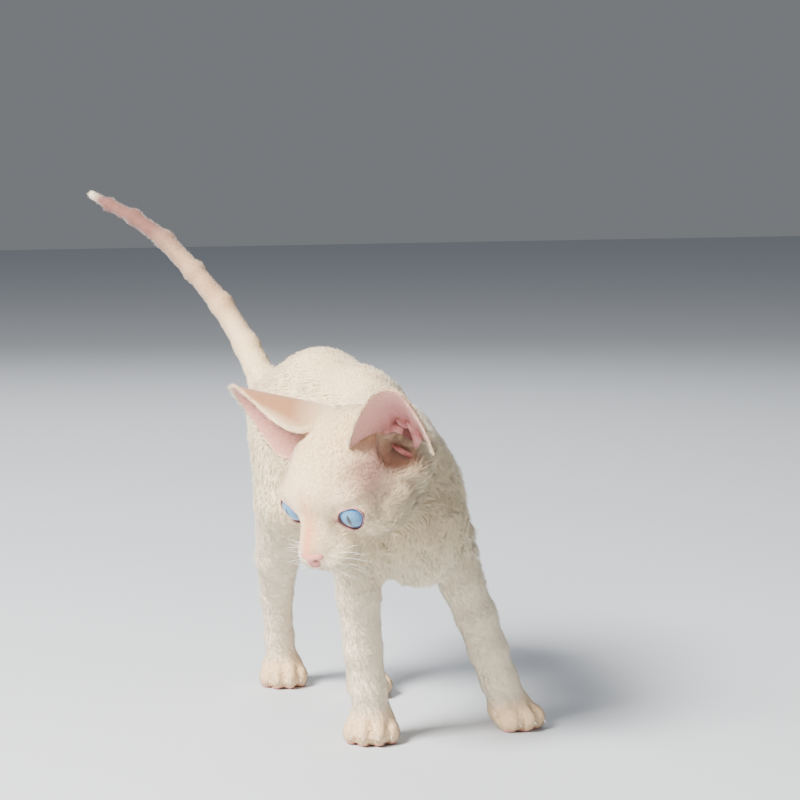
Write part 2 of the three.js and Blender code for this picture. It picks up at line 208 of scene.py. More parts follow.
paws = {
    "foreRight": {"at": (-11, -34), "heading": -30, "width": 1.0},
    "foreLeft": {"at": (57.5, -43), "heading": 20, "width": 1.0},
    "hindRight": {"at": (7.6, 87), "heading": -26, "width": 0.92},
    "hindLeft": {"at": (32.3, 47.6), "heading": -8, "width": 0.84},
}
toePlan = [(-8.6, 3.4, 5.2), (-3.2, 7.2, 5.7), (3.2, 7.2, 5.7), (8.6, 3.4, 5.2)]


def pawPoint(paw, across, ahead, up):
    turn = math.radians(paw["heading"])
    x = across * paw["width"]
    return (
        paw["at"][0] + x * math.cos(turn) + ahead * math.sin(turn),
        paw["at"][1] + x * math.sin(turn) - ahead * math.cos(turn),
        up,
    )


def pawField(paw):
    spin = turned(("Z", paw["heading"]))
    palm = egg(pawPoint(paw, 0, -2, 7.9), (10.6 * paw["width"], 10.5, 8.7), spin)
    toes = [egg(pawPoint(paw, x, y, r * 0.95), (r * 0.86, r * 1.35, r * 1.12), spin) for x, y, r in toePlan]
    return join(3.2, palm, join(0.9, *toes))


both = (1, -1)


def mirrored(k, centre, radii):
    # the same egg on both sides of the head
    return join(k, *[egg(np.array(centre) * (s, 1, 1), radii) for s in both])


skull = join(
    7,
    egg((0, 6, 5), (25, 28.5, 22)),
    egg((0, -8, 6), (18.5, 18.5, 17)),
    *[egg((17.5 * s, 0, -9), (12.5, 18.5, 13.5)) for s in both],
    egg((0, -21, -9), (10.5, 16, 9.5)),
    egg((0, -19, -19), (11, 13, 7.5)),
    egg((0, 2, -14), (17, 22, 13)),
)
whiskerPads = mirrored(3, (6.2, -27, -15.5), (7.6, 8.4, 6.6))
noseBridge = bone((0, -20, 1), (0, -31.2, -8.2), 6, 4.2)
brows = mirrored(3, (15, -14.5, 8), (8, 7, 5))
sockets = mirrored(1, (17.5, -24.5, -1), (7, 4.2, 6))
lidsRound = mirrored(2, eyeSpec["centre"], (eyeSpec["radius"] + eyeSpec["lidWall"],) * 3)
temples = mirrored(1, (18.5, -8, 2.5), (5.6, 9, 8))
earRoots = mirrored(1, (23.2, 15, -2), (9.6, 11.5, 12))
canals = mirrored(1, (25.5, 13.5, 9.5), (7.8, 9.6, 9.4))
baseOfHead = join(5, skull, whiskerPads, noseBridge, brows)
headLayers = [
    (carve, sockets, 4),
    (blend, lidsRound, 2.5),
    (blend, earRoots, 4),
    (blend, temples, 6),
    (carve, canals, 2.5),
]


def eyeFrame(side):
    # the eye's own outward, up and gaze, in the head's frame
    gaze = unit(np.array(eyeSpec["gaze"]) * (side, 1, 1))
    outward = unit(np.cross((0, 0, 1), gaze)) * side
    return outward, unit(np.cross(gaze, outward)) * side, gaze


def eyeCentre(side):
    return np.array(eyeSpec["centre"]) * (side, 1, 1)


def lidHeights(t):
    # how high the lids stand above and below, at a share t of the way to a corner
    heights = []
    for lid in ("top", "low"):
        power, fullness = eyeSpec[lid + "Curve"]
        heights.append(eyeSpec[lid + "Lid"] * fade(1 - np.abs(t) ** power) ** fullness)
    return heights


def almond(x, y):
    # how far outside the lids' opening a point is; x runs to the outer corner
    w = eyeSpec["halfWidth"]
    slant = eyeSpec["slant"] * x
    top, low = lidHeights(np.clip(x / w, -1, 1))
    edge = np.where(y - slant > 0, y - slant - top, -(y - slant) - low)
    return np.maximum(edge * 0.8, np.abs(x) - w)


def eyeLocal(q, side):
    # outward, up and forward from the eye's middle, and how far outside the lids' opening
    rel = q - eyeCentre(side)
    x, y, z = [rel @ axis for axis in eyeFrame(side)]
    return x, y, z, almond(x, y)


def eyeOpening(q):
    d = np.full(q.shape[:-1], 1e3)
    for side in both:
        _, _, forward, edge = eyeLocal(q, side)
        d = np.minimum(d, np.maximum(edge, eyeSpec["opensFrom"] - forward))
        ball = size(q - eyeCentre(side)) - eyeSpec["radius"]
        d = np.minimum(d, ball - eyeSpec["play"])
    return d


def headShape(q):
    d = baseOfHead(q)
    for act, form, width in headLayers:
        d = act(d, form(q), width)
    return d


neck = limb(6, [(-1, -37, 116, 22), (-9, -45, 121, 20.5), (-18, -52, 126, 19.5)])
tail = limb(3, tailStations)
legFields = {name: limb(3, stations) for name, stations in legStations.items()}
pawFields = {name: pawField(paw) for name, paw in paws.items()}


def parts(p):
    # distance to each named region, for choosing fur and colour
    out = {"torso": torso(p), "neck": neck(p), "tail": tail(p), "head": headShape(toHead(p))}
    for name in legStations:
        out[name] = legFields[name](p)
        out[name + "Paw"] = pawFields[name](p)
    return out


def bodyField(p):
    d = blend(blend(torso(p), neck(p), 10), tail(p), 10)
    for name in legStations:
        d = blend(d, blend(legFields[name](p), pawFields[name](p), 6), 9)
    q = toHead(p)
    d = blend(d, headShape(q), 10)
    return np.maximum(d, -p[..., 2])  # the floor


def gradient(field, p, step=0.05):
    g = np.stack([field(p + axis * step) - field(p - axis * step) for axis in np.eye(3)], -1)
    return g / np.maximum(np.linalg.norm(g, axis=-1, keepdims=True), tiny)


# camera and light, as the photo has them
camSpec = {
    "place": (-506.8, -917.8, 250.0),
    "azimuth": -30.0,
    "pitch": 5.6,
    "sensor": 36,
    "focal": 2350 / 800,  # focal length over the picture's width
    "clip": (0.05, 30),
}
lens = bpy.data.cameras.new("photoCamera")
camera = newObject("photoCamera", lens)
lens.sensor_width = camSpec["sensor"]
lens.lens = camSpec["sensor"] * camSpec["focal"]
lens.clip_start, lens.clip_end = camSpec["clip"]
camera.location = toScene(camSpec["place"])
camera.rotation_euler = (math.radians(90 - camSpec["pitch"]), 0, math.radians(camSpec["azimuth"]))
bpy.context.scene.camera = camera

lightSpec = {
    "key": {"place": (-1.25, -0.35, 1.25), "size": 0.6, "power": 125, "colour": (1.0, 0.955, 0.88)},
    "fill": {"place": (0.9, -1.3, 0.8), "size": 1.6, "power": 3, "colour": (0.86, 0.90, 1.0)},
    "rim": {"place": (0.5, 1.3, 1.2), "size": 1.0, "power": 14, "colour": (0.96, 0.98, 1.0)},
}
lightsAim = Vector((0, 0, 0.11))
worldSpec = {"Color": (0.88, 0.92, 0.98, 1), "Strength": 0.21}
for name, spec in lightSpec.items():
    lamp = bpy.data.lights.new(name + "Light", "AREA")
    lamp.size = spec["size"]
    lamp.energy = spec["power"]
    lamp.color = spec["colour"]
    lampObject = newObject(name + "Light", lamp)
    lampObject.location = spec["place"]
    lampObject.rotation_euler = (lightsAim - Vector(spec["place"])).to_track_quat("-Z", "Y").to_euler()
world = bpy.data.worlds.new("studio")
bpy.context.scene.world = world
world.use_nodes = True
for key, value in worldSpec.items():
    world.node_tree.nodes["Background"].inputs[key].default_value = value
print("camera and lights")


def plug(material, node, sockets):
    # each socket takes a value or another node's output
    for key, value in sockets.items():
        if isinstance(value, bpy.types.NodeSocket):
            material.node_tree.links.new(value, node.inputs[key])
        else:
            node.inputs[key].default_value = value


def addNode(material, kind, sockets, output=0, **settings):
    node = material.node_tree.nodes.new("ShaderNode" + kind)
    for key, value in settings.items():
        setattr(node, key, value)
    plug(material, node, sockets)
    return node.outputs[output]


def addRamp(material, value, stops):
    ramp = addNode(material, "ValToRGB", {"Fac": value}, "Color")
    elements = ramp.node.color_ramp.elements
    for end in (0, -1):
        elements[end].position = stops[end][0]
        elements[end].color = (*stops[end][1], 1)
    for position, colour in stops[1:-1]:
        elements.new(position).color = (*colour, 1)
    return ramp


def multiplied(material, amount, a, b):
    sockets = {"Factor": amount, "A": a, "B": b}
    return addNode(material, "Mix", sockets, "Result", data_type="RGBA", blend_type="MULTIPLY")


def newMaterial(name, colour, roughness):
    material = bpy.data.materials.new(name)
    material.use_nodes = True
    shader = material.node_tree.nodes["Principled BSDF"]
    plug(material, shader, {"Base Color": (*colour, 1), "Roughness": roughness})
    return material, shader


def meshObject(name, bm):
    mesh = bpy.data.meshes.new(name)
    bm.to_mesh(mesh)
    bm.free()
    made = newObject(name, mesh)
    for poly in mesh.polygons:
        poly.use_smooth = True
    return made


def readArray(items, field, width, kind=np.float32):
    values = np.empty(len(items) * width, kind)
    items.foreach_get(field, values)
    return values.reshape(-1, width)


def writeArray(items, field, values, kind=np.float32):
    items.foreach_set(field, np.asarray(values).astype(kind).ravel())


def getPoints(mesh):
    return readArray(mesh.vertices, "co", 3).astype(float)


def setPoints(mesh, points):
    writeArray(mesh.vertices, "co", points)
    mesh.update()


def srgb(r, g, b):
    c = np.array([r, g, b], float) / 255
    return np.where(c <= 0.04045, c / 12.92, ((c + 0.055) / 1.055) ** 2.4)


def faceOutward(mesh):
    bm = bmesh.new()
    bm.from_mesh(mesh)
    bmesh.ops.recalc_face_normals(bm, faces=bm.faces)
    bm.to_mesh(mesh)
    bm.free()


# floor
floorSpec = {"size": 6.0, "colour": (0.62, 0.66, 0.72), "roughness": 0.85, "grain": 40, "relief": 0.05}
bm = bmesh.new()
bmesh.ops.create_grid(bm, x_segments=2, y_segments=2, size=floorSpec["size"])
floor = meshObject("floor", bm)
floorMaterial, shader = newMaterial("palePaper", floorSpec["colour"], floorSpec["roughness"])
grain = addNode(floorMaterial, "TexNoise", {"Scale": floorSpec["grain"]}, "Fac")
grainBump = addNode(floorMaterial, "Bump", {"Strength": floorSpec["relief"], "Height": grain}, "Normal")
plug(floorMaterial, shader, {"Normal": grainBump})
floor.data.materials.append(floorMaterial)

# one skin over the flesh nodes
fleshNodes = [
    "torso", "neck", "head",
    "foreleg_left", "foreleg_right", "hindleg_left", "hindleg_right",
    "forepaw_left", "forepaw_right", "hindpaw_left", "hindpaw_right",
    "tail_root", "tail_middle", "tail_tip",
]
skinSpec = {
    "voxel": 0.0011,
    "swell": 0.0008,
    "fitShares": (0.9, 0.9, 0.9, 0.6, 0.6),  # share of the way to the form, round by round
    "fitReach": 1.6,
    "lidSoftness": 0.5,
}


def skinOf(nodeNames):
    bm = bmesh.new()
    for name in nodeNames:
        piece = bmesh.new()
        piece.from_mesh(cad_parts[name].data)
        bmesh.ops.remove_doubles(piece, verts=piece.verts, dist=1e-6)
        bmesh.ops.recalc_face_normals(piece, faces=piece.faces)
        piece.normal_update()
        for v in piece.verts:
            v.co += v.normal * skinSpec["swell"]
        copy = bpy.data.meshes.new("copy")
        piece.to_mesh(copy)
        piece.free()
        bm.from_mesh(copy)
        bpy.data.meshes.remove(copy)
    made = meshObject("kittenSkin", bm)
    remesh = made.modifiers.new("remesh", "REMESH")
    remesh.mode = "VOXEL"
    remesh.voxel_size = skinSpec["voxel"]
    remesh.adaptivity = 0
    bpy.context.view_layer.objects.active = made
    made.select_set(True)
    bpy.ops.object.modifier_apply(modifier="remesh")
    keepLargest(made)
    return made


def keepLargest(made):
    # small closed shells left inside the joints between nodes are taken away
    mesh = made.data
    count = len(mesh.vertices)
    edges = readArray(mesh.edges, "vertices", 2, np.int32)
    label = np.arange(count)
    while True:
        lowest = np.minimum(label[edges[:, 0]], label[edges[:, 1]])
        after = label.copy()
        np.minimum.at(after, edges[:, 0], lowest)
        np.minimum.at(after, edges[:, 1], lowest)
        after = after[after]
        if (after == label).all():
            break
        label = after
    main = np.bincount(label).argmax()
    bm = bmesh.new()
    bm.from_mesh(mesh)
    bm.verts.ensure_lookup_table()
    loose = [v for v in bm.verts if label[v.index] != main]
    bmesh.ops.delete(bm, geom=loose, context="VERTS")
    bm.to_mesh(mesh)
    bm.free()
    print("loose points taken away", len(loose))


skin = skinOf([*fleshNodes, "nose"])
print("skin remeshed", len(skin.data.vertices))


def coatDepth(p):
    # how far the skin lies under the coat's tips
    q = toHead(p)
    reach = parts(p)
    depth = np.full(len(p), 1.7)
    muzzle = fade(1 - size(q - (0, -26, -8)) / 30)
    layers = [(fade(1 - reach["head"] / 6), 1.5 - 1.3 * fade(muzzle * 2.2))]
    for name in legStations:
        layers.append((fade((70 - p[:, 2]) / 20) * fade(1 - reach[name] / 6), 1.1))
        layers.append((fade(1 - reach[name + "Paw"] / 3), 0.6))
    layers.append((fade(1 - reach["tail"] / 3) * fade((p[:, 1] - 84) / 10), 0.7))
    for amount, value in layers:
        depth = depth * (1 - amount) + value * amount
    return depth


points = fromScene(getPoints(skin.data))
depth = coatDepth(points)


def skinField(p):
    d = bodyField(p) + depth
    return carve(d, eyeOpening(toHead(p)), skinSpec["lidSoftness"])


for share in skinSpec["fitShares"]:
    d = np.clip(skinField(points), -skinSpec["fitReach"], skinSpec["fitReach"])
    points = points - d[:, None] * gradient(skinField, points) * share
setPoints(skin.data, toScene(points))
print("skin fitted")


# ears: thin cups with their folds, in the head's frame
earSpec = {
    "earLeft": {
        "node": "ear_left", "base": (25.5, 21.5, 13.5), "tip": (40.5, 8, 44), "front": (0.1, -0.9, -0.36),
        "width": 18, "cup": 18, "side": 1, "drawIn": 0.42,
    },
    "earRight": {
        "node": "ear_right", "base": (-22, 23, 19), "tip": (-51, 9.5, 37), "front": (0.17, -0.9, -0.39),
        "width": 17, "cup": 22, "side": -1, "drawIn": 0.1,
    },
}
earShape = {
    "sink": 10.0,
    "curl": -2.0,
    "wall": 0.75,
    "taper": 0.3,
    "cupFade": 0.3,
    "drawnBelow": 0.5,
    # ridges and dips inside: height, place and width across, place and length along
    "folds": [(2.6, -0.28, 0.07, 0.34, 0.17), (2.2, 0.02, 0.06, 0.32, 0.14), (1.9, 0.3, 0.07, 0.40, 0.16),
              (-1.2, -0.12, 0.08, 0.30, 0.14), (0.5, 0, 0.4, 0.62, 0.04)],
}


def bump(x, centre, width):
    return np.exp(-(((x - centre) / width) ** 2))


def earAxes(spec):
    # an ear's base, its height, and its own across, along and front
    base = np.array(spec["base"], float)
    along = np.array(spec["tip"], float) - base
    height = np.linalg.norm(along)
    along /= height
    front = np.array(spec["front"], float)
    front = unit(front - (front @ along) * along)
    return base, height, np.stack([np.cross(along, front), along, front])


def cupLift(u, rise, spec):
    # how far the ear's wall stands to the front, at u across and rise along
    return spec["cup"] * u * u * (1 - earShape["cupFade"] * rise) + earShape["curl"] * rise * rise


def earPoints(unitBall, spec):
    # maps a unit ball to the ear; y runs from base to tip, x across, z is the front
    base, height, (across, along, front) = earAxes(spec)
    x, y, z = unitBall.T
    rise = (y + 1) / 2
    v = x * spec["side"]
    low = fade((earShape["drawnBelow"] - rise) / 0.3) * fade(v * 2)
    u = x * (1 - earShape["taper"] * y) * (1 - spec["drawIn"] * low)
    inner = fade(z) ** 0.5
    outer = -fade(-z) ** 0.5
    folds = sum(h * bump(v, at, wide) * bump(rise, up, tall) for h, at, wide, up, tall in earShape["folds"])
    thick = inner * (earShape["wall"] + folds) + outer * earShape["wall"]
    wave = 0.5 * np.sin(7 * rise + 2) * x
    q = base + (rise * (height + earShape["sink"]) - earShape["sink"])[:, None] * along
    q = q + (u * spec["width"])[:, None] * across + (cupLift(u, rise, spec) + thick + wave)[:, None] * front
    return fromHead(q)


ears = {}
for name, spec in earSpec.items():
    bm = bmesh.new()
    bmesh.ops.create_uvsphere(bm, u_segments=120, v_segments=84, radius=1)
    bmesh.ops.rotate(bm, verts=bm.verts, cent=(0, 0, 0), matrix=Matrix.Rotation(math.radians(90), 3, "X"))
    ear = meshObject(name, bm)
    ball = getPoints(ear.data)
    ball[:, 1] *= -1
    ball /= np.maximum(np.linalg.norm(ball, axis=1, keepdims=True), tiny)
    setPoints(ear.data, toScene(earPoints(ball, spec)))
    faceOutward(ear.data)
    ears[name] = {"object": ear, "ball": ball, "spec": spec}
print("ears")


# markings and painted shade: one function colours skin and coat
tones = {
    "cream": srgb(252, 227, 187),
    "warm": srgb(252, 215, 162),
    "white": srgb(252, 236, 212),
    # painted shade: the mauve laid over the temples
    "mauveShade": srgb(170, 127, 121),
    "peach": srgb(226, 148, 108),
    "pink": srgb(212, 128, 120),
    "tan": srgb(182, 128, 88),
    "paw": srgb(244, 209, 164),
    "dusk": srgb(124, 84, 75),
    "skinPink": srgb(222, 162, 148),
    "deepPink": srgb(152, 66, 64),
    "earMauve": srgb(184, 114, 114),
    # painted shade: near-black laid in the ears' hollows, the nostrils, the mouth's line and the dark ear
    # fold
    "recessShade": srgb(92, 40, 36),
}


def mixTone(colour, tone, amount):
    a = fade(amount)[:, None]
    return colour * (1 - a) + tones[tone] * a


def waves(p, scale, seed):
    # a smooth patchy value from -1 to 1
    out = np.zeros(len(p))
    local = np.random.default_rng(seed)
    for _ in range(5):
        direction = local.normal(size=3)
        direction /= np.linalg.norm(direction)
        out += np.sin(p @ direction * (6.283 / (scale * local.uniform(0.7, 1.5))) + local.uniform(0, 6.283))
    return out / 3


def painted(count, base, layers):
    # a base colour for each point, with each tone laid over it in turn
    colour = np.tile(base, (count, 1))
    for tone, amount in layers:
        colour = mixTone(colour, tone, amount)
    return colour


def coatColour(p, reach):
    q = toHead(p)
    x, y, z = q.T
    height = p[:, 2]
    onHead = fade(1 - reach["head"] / 4)
    side = fade((x - 2) / 12) + fade((-x - 2) / 12)
    # painted shade: a mauve cast over both temples, where the head's sides fall into shade
    templeShade = bump(np.abs(x), 21, 9) * bump(z, 12, 10) * bump(y, -5, 15)
    bridge = bump(x, 0, 4.5) * fade((-y - 21) / 9) * fade((z + 15) / 5)
    layers = [
        ("warm", 0.35 * fade((height - 120) / 40) + 0.12 * waves(p, 28, 3)),
        ("white", 0.55 * fade((100 - height) / 30)),
        # painted shade on the temples
        ("mauveShade", onHead * 1.1 * templeShade),
        ("warm", onHead * 0.5 * fade(z / 22) * (1 - fade(side - 0.6))),
        ("peach", onHead * 0.85 * bridge),
    ]
    for s in both:
        outward, up, forward, edge = eyeLocal(q, s)
        front = onHead * fade(forward / 3)
        corner = bump(outward, -eyeSpec["halfWidth"] - 0.6, 1.6) * bump(up, -0.8, 1.6)
        layers += [("skinPink", front * fade(1 - edge / 1.6) * 0.9), ("deepPink", front * corner * 0.8)]
    mouth = mouthDistance(q)
    hollow = canals(q)
    layers += [
        # pink lips, with painted shade along the mouth's line
        ("pink", onHead * fade(1 - mouth / 1.4) * 0.8),
        ("recessShade", onHead * fade(1 - mouth / 0.6) * 0.8),
        ("earMauve", onHead * fade(1 - (hollow - 0.3) / 1.6) * 0.75),
    ]
    # painted shade: deeper pink, then near-black, darkening into each ear's hollow
    for s in both:
        deep = size(q - (22.5 * s, 18, 8))
        shade = fade(1.35 - deep / 6.5) * fade(1 - hollow)
        layers += [
            ("deepPink", onHead * fade(1.8 - deep / 7) * np.clip(1 - hollow, 0, 0.6)),
            ("recessShade", onHead * shade * 0.8),
        ]
    back = p[:, 1]
    onTail = fade(1 - reach["tail"] / 2) * fade((back - 92) / 14)
    upper = np.clip(0.5 + waves(p, 17, 9) * 0.25 + (p[:, 0] + 20) / 60, 0.1, 0.9)
    layers += [
        ("tan", onTail * upper * 0.6),
        ("dusk", onTail * fade((back - 95) / 60)),
        ("white", onTail * fade((back - 188) / 8) * 0.8),
    ]
    for name in paws:
        onPaw = fade(1 - reach[name + "Paw"] / 4) * fade((26 - height) / 10)
        layers.append(("paw", onPaw * 0.9))
    colour = painted(len(p), tones["cream"], layers) * (1 + 0.025 * waves(p, 6, 5))[:, None]
    return np.clip(colour, 0, 0.96)


# the mouth's line, in the head's frame
lipLine = [(0, -35, -18.4), (2.5, -35, -19.4), (6, -32.5, -21), (10, -26, -20.6), (13, -18, -19)]
mouthLines = [
    [(0, -37, -14.5), (0, -36.5, -17), (0, -35, -18.6)],
    *[[(x * s, y, z) for x, y, z in lipLine] for s in both],
]


def mouthDistance(q):
    d = np.full(len(q), 1e3)
    for line in mouthLines:
        for a, b in zip(line, line[1:]):
            a, b = np.array(a, float), np.array(b, float)
            along = b - a
            t = fade((q - a) @ along / (along @ along))
            d = np.minimum(d, size(q - a - t[:, None] * along))
    return d


# the mouth's groove and the lips go into the skin
mouthSpec = {"groove": (0.9, 0.8), "lip": (0.35, 2.0, 0.9), "backTo": -12}
local = toHead(points)
near = mouthDistance(local)
(groove, grooveWidth), (lip, lipAway, lipWidth) = mouthSpec["groove"], mouthSpec["lip"]
press = groove * bump(near, 0, grooveWidth) - lip * bump(near, lipAway, lipWidth)
points = points - gradient(bodyField, points) * (press * (local[:, 1] < mouthSpec["backTo"]))[:, None]
setPoints(skin.data, toScene(points))


def setTint(mesh, colours):
    layer = mesh.color_attributes.new("tint", "FLOAT_COLOR", "POINT")
    writeArray(layer.data, "color", np.hstack([colours, np.ones((len(colours), 1))]))


reach = parts(points)
setTint(skin.data, coatColour(points, reach))


def addTint(material):
    return addNode(material, "Attribute", {}, "Color", attribute_name="tint")


def furMaterial(name, roughness, strength, size, fuzz):
    material, shader = newMaterial(name, (0.8, 0.7, 0.6), roughness)
    place = addNode(material, "TexCoord", {}, "Object")
    mottle = addNode(material, "TexNoise", {"Scale": size, "Detail": 6, "Vector": place}, "Fac")
    shades = addRamp(material, mottle, [(0.3, (0.84, 0.79, 0.75)), (0.65, (1, 1, 1))])
    sockets = {"Strength": strength, "Distance": 0.0006, "Height": mottle}
    ripple = addNode(material, "Bump", sockets, "Normal")
    plug(material, shader, {
        "Base Color": multiplied(material, 0.25, addTint(material), shades),
        "Normal": ripple,
        "Sheen Weight": fuzz,
        "Sheen Roughness": 0.5,
        "Specular IOR Level": 0.25,
    })
    return material


coatMaterial = furMaterial("creamFur", 0.78, 0.25, 900, 0.25)
skinMaterial = furMaterial("creamSkin", 0.85, 0.8, 700, 0.2)
skin.data.materials.clear()
skin.data.materials.append(skinMaterial)

# ear colours: tan fur behind, pink skin inside, with painted shade deepening toward the hollow at the
# bottom of the cup
for name, ear in ears.items():
    ball = ear["ball"]
    rise = (ball[:, 1] + 1) / 2
    v = ball[:, 0] * ear["spec"]["side"]
    inside = fade(ball[:, 2] * 6 + 0.3)
    ear["tint"] = painted(len(ball), tones["tan"], [
        ("cream", fade(0.42 - rise) * 2.4),
        ("cream", np.clip((np.abs(ball[:, 0]) - 0.8) * 4, 0, 0.8)),
        ("skinPink", inside * 0.95),
        ("earMauve", inside * 0.95 * bump(rise, 0.6, 0.3) * bump(v, 0.05, 0.6)),
        # painted shade: deeper pink, then near-black, toward the hollow at the bottom of the cup
        ("deepPink", inside * bump(rise, 0.33, 0.16) * bump(v, 0.0, 0.42)),
        ("recessShade", inside * bump(rise, 0.2, 0.12) * bump(v, 0.0, 0.3) * 0.8),
    ])
    setTint(ear["object"].data, ear["tint"])
    ear["object"].data.materials.append(skinMaterial)
print("skin and ears coloured")


# the coat
def meshArrays(mesh):
    mesh.calc_loop_triangles()
    tri = readArray(mesh.loop_triangles, "vertices", 3, np.int32)
    p = fromScene(getPoints(mesh))
    faceNormal = np.cross(p[tri[:, 1]] - p[tri[:, 0]], p[tri[:, 2]] - p[tri[:, 0]])
    area = size(faceNormal) / 2
    normal = np.zeros_like(p)
    for i in range(3):
        np.add.at(normal, tri[:, i], faceNormal)
    edges = readArray(mesh.edges, "vertices", 2, np.int32)
    return {"points": p, "tris": tri, "area": area, "normal": normalised(normal), "edges": edges}


def smoothed(values, edges, rounds):
    count = np.zeros(len(values))
    np.add.at(count, edges[:, 0], 1)
    np.add.at(count, edges[:, 1], 1)
    out = values.copy()
    for _ in range(rounds):
        total = np.zeros_like(out)
        for axis in range(out.shape[1]):
            total[:, axis] = np.bincount(edges[:, 0], out[edges[:, 1], axis], len(out))
            total[:, axis] += np.bincount(edges[:, 1], out[edges[:, 0], axis], len(out))
        out = 0.4 * out + 0.6 * total / np.maximum(count, 1)[:, None]
    return out


def normalised(v):
    return v / np.maximum(np.linalg.norm(v, axis=1, keepdims=True), tiny)


def lieOfCoat(p, normal, reach, edges):
    q = toHead(p)
    weights = {name: np.exp(-np.clip(d, -2, 40) / 4) for name, d in reach.items()}
    away = q - (0, -38, -10)
    away[:, 2] *= np.where(away[:, 2] < -6, 1.5, 1.0)
    headward = normalised(away) @ headAxes.T
    flow = headward * weights["head"][:, None] * 3
    side = np.clip(1 - normal[:, 2], 0, 1.4)
    bodyFlow = np.stack([0.02 * np.ones(len(p)), 0.95 - 0.35 * side, -0.55 * side], 1)
    front = fade((-p[:, 1] - 40) / 20)[:, None]
    bodyFlow = bodyFlow * (1 - front) + (0.05, 0.1, -1.0) * front
    flow += bodyFlow * weights["torso"][:, None]
    flow += np.array((0.45, 0.35, -0.75)) * weights["neck"][:, None]
    for name, stations in legStations.items():
        down = np.array(stations[-1][:3]) - np.array(stations[1][:3])
        flow += unit(down) * weights[name][:, None] * 1.2
        turn = math.radians(paws[name]["heading"])
        flow += np.array((math.sin(turn), -math.cos(turn), -0.5)) * weights[name + "Paw"][:, None]
    rise = np.array(tailStations[6][:3]) - np.array(tailStations[1][:3])
    flow += unit(rise) * weights["tail"][:, None] * 1.5
    flow = smoothed(flow, edges, 10)
    flow -= (flow * normal).sum(1, keepdims=True) * normal
    return normalised(flow)


coatSpec = {
    "count": 117000,
    "perPiece": 19500,
    "seed": 11,
    "half": 0.20,  # half the width of a tuft at its root, mm
    "perEar": 9000,
    "earSeed": 31,
    "earHalf": 0.13,
    "wave": 7.5,
}


def regionShare(name, width):
    return fade(1 - reach[name] / width)


def coatPlan(p, q):
    # length, tilt in degrees, curl in degrees and density at each point of the skin
    plan = np.tile((3.4, 20.0, 20.0, 1.0), (len(p), 1))

    def setTo(amount, *values):
        plan[:] += amount[:, None] * (values - plan)

    chest = fade((-p[:, 1] - 30) / 18) * fade((135 - p[:, 2]) / 20)
    setTo(chest, 5.2, 27, 50, 1.3)
    setTo(regionShare("neck", 6) * 0.9, 5.0, 26, 46, 1.25)
    for name in legStations:
        low = fade((84 - p[:, 2]) / 20)
        setTo(regionShare(name, 6) * low, 2.6, 18, 20, 1.3)
        setTo(regionShare(name, 6) * fade((60 - p[:, 2]) / 25), 2.1, 16, 14, 1.5)
        setTo(regionShare(name + "Paw", 3) * fade((24 - p[:, 2]) / 8), 1.4, 16, 8, 2.3)
    setTo(regionShare("tail", 3) * fade((p[:, 1] - 84) / 12), 1.8, 18, 10, 1.9)
    onHead = regionShare("head", 4)
    setTo(onHead, 2.1, 15, 12, 1.9)
    cheek = bump(np.abs(q[:, 0]), 24, 10) * bump(q[:, 1], 6, 14) * bump(q[:, 2], -10, 12)
    setTo(onHead * cheek, 4.6, 30, 50, 1.5)
    ruff = bump(np.abs(q[:, 0]), 31, 9) * bump(q[:, 1], 18, 12) * bump(q[:, 2], -4, 12)
    setTo(onHead * ruff, 4.6, 34, 30, 2.0)
    face = fade((-q[:, 1] - 8) / 12)
    setTo(onHead * face, 1.7, 16, 8, 2.2)
    nose = fade(1 - size(q - (0, -35, -9)) / 14)
    setTo(onHead * fade(nose * 1.6), 0.9, 12, 4, 3.2)
    density = plan[:, 3]
    for s in both:
        _, _, forward, edge = eyeLocal(q, s)
        ahead = forward > 2
        setTo(onHead * fade(1 - edge / 4) * ahead, 0.9, 14, 4, 2.6)
        density[ahead & (edge < 0.9) & (onHead > 0)] = 0
    onNose = np.linalg.norm((q - (0, -36.5, -11)) / (6.2, 4, 4.5), axis=1) < 1
    bare = onNose | (mouthDistance(q) < 0.55) | (canals(q) < 0.6)
    density[bare & (onHead > 0)] = 0
    density[p[:, 2] < 1.2] = 0  # the soles
    return dict(zip(("length", "tilt", "curl", "density"), plan.T))


def unwrapSkin(p, reach):
    # the skin's own unwrap: each limb is rolled out in a cell of its own
    names = list(reach)
    nearest = np.argmin(np.stack([reach[n] for n in names]), 0)
    uv = np.zeros((len(p), 2))
    cells = 4
    for i, name in enumerate(names):
        here = nearest == i
        at = p[here]
        if not len(at):
            continue
        if name == "head":
            x, y, z = toHead(at).T
            angle = np.arctan2(x, z)
            height = (y + 42) / 90
        elif name in ("torso", "neck"):
            angle = np.arctan2(at[:, 0] - 6, at[:, 2] - 115)
            height = (at[:, 1] + 100) / 210
        elif name == "tail":
            stations = np.array(tailStations)[:, :3]
            x, y, z = (at - stations[np.argmin(size(at[:, None] - stations), 1)]).T
            angle = np.arctan2(x, z - y * 0.6)
            height = (at[:, 1] - 70) / 140
        else:
            stations = np.array(legStations[name.removesuffix("Paw")])
            x, y, z, _ = stations[np.argsort(stations[:, 2])].T
            level = np.clip(at[:, 2], 14, 110)
            angle = np.arctan2(at[:, 0] - np.interp(level, z, x), at[:, 1] - np.interp(level, z, y))
            height = at[:, 2] / 130
        cell = np.array((i % cells, i // cells)) / cells
        uv[here] = cell + (np.stack([angle / 6.284 + 0.5, fade(height)], 1) * 0.92 + 0.04) / cells
    return uv


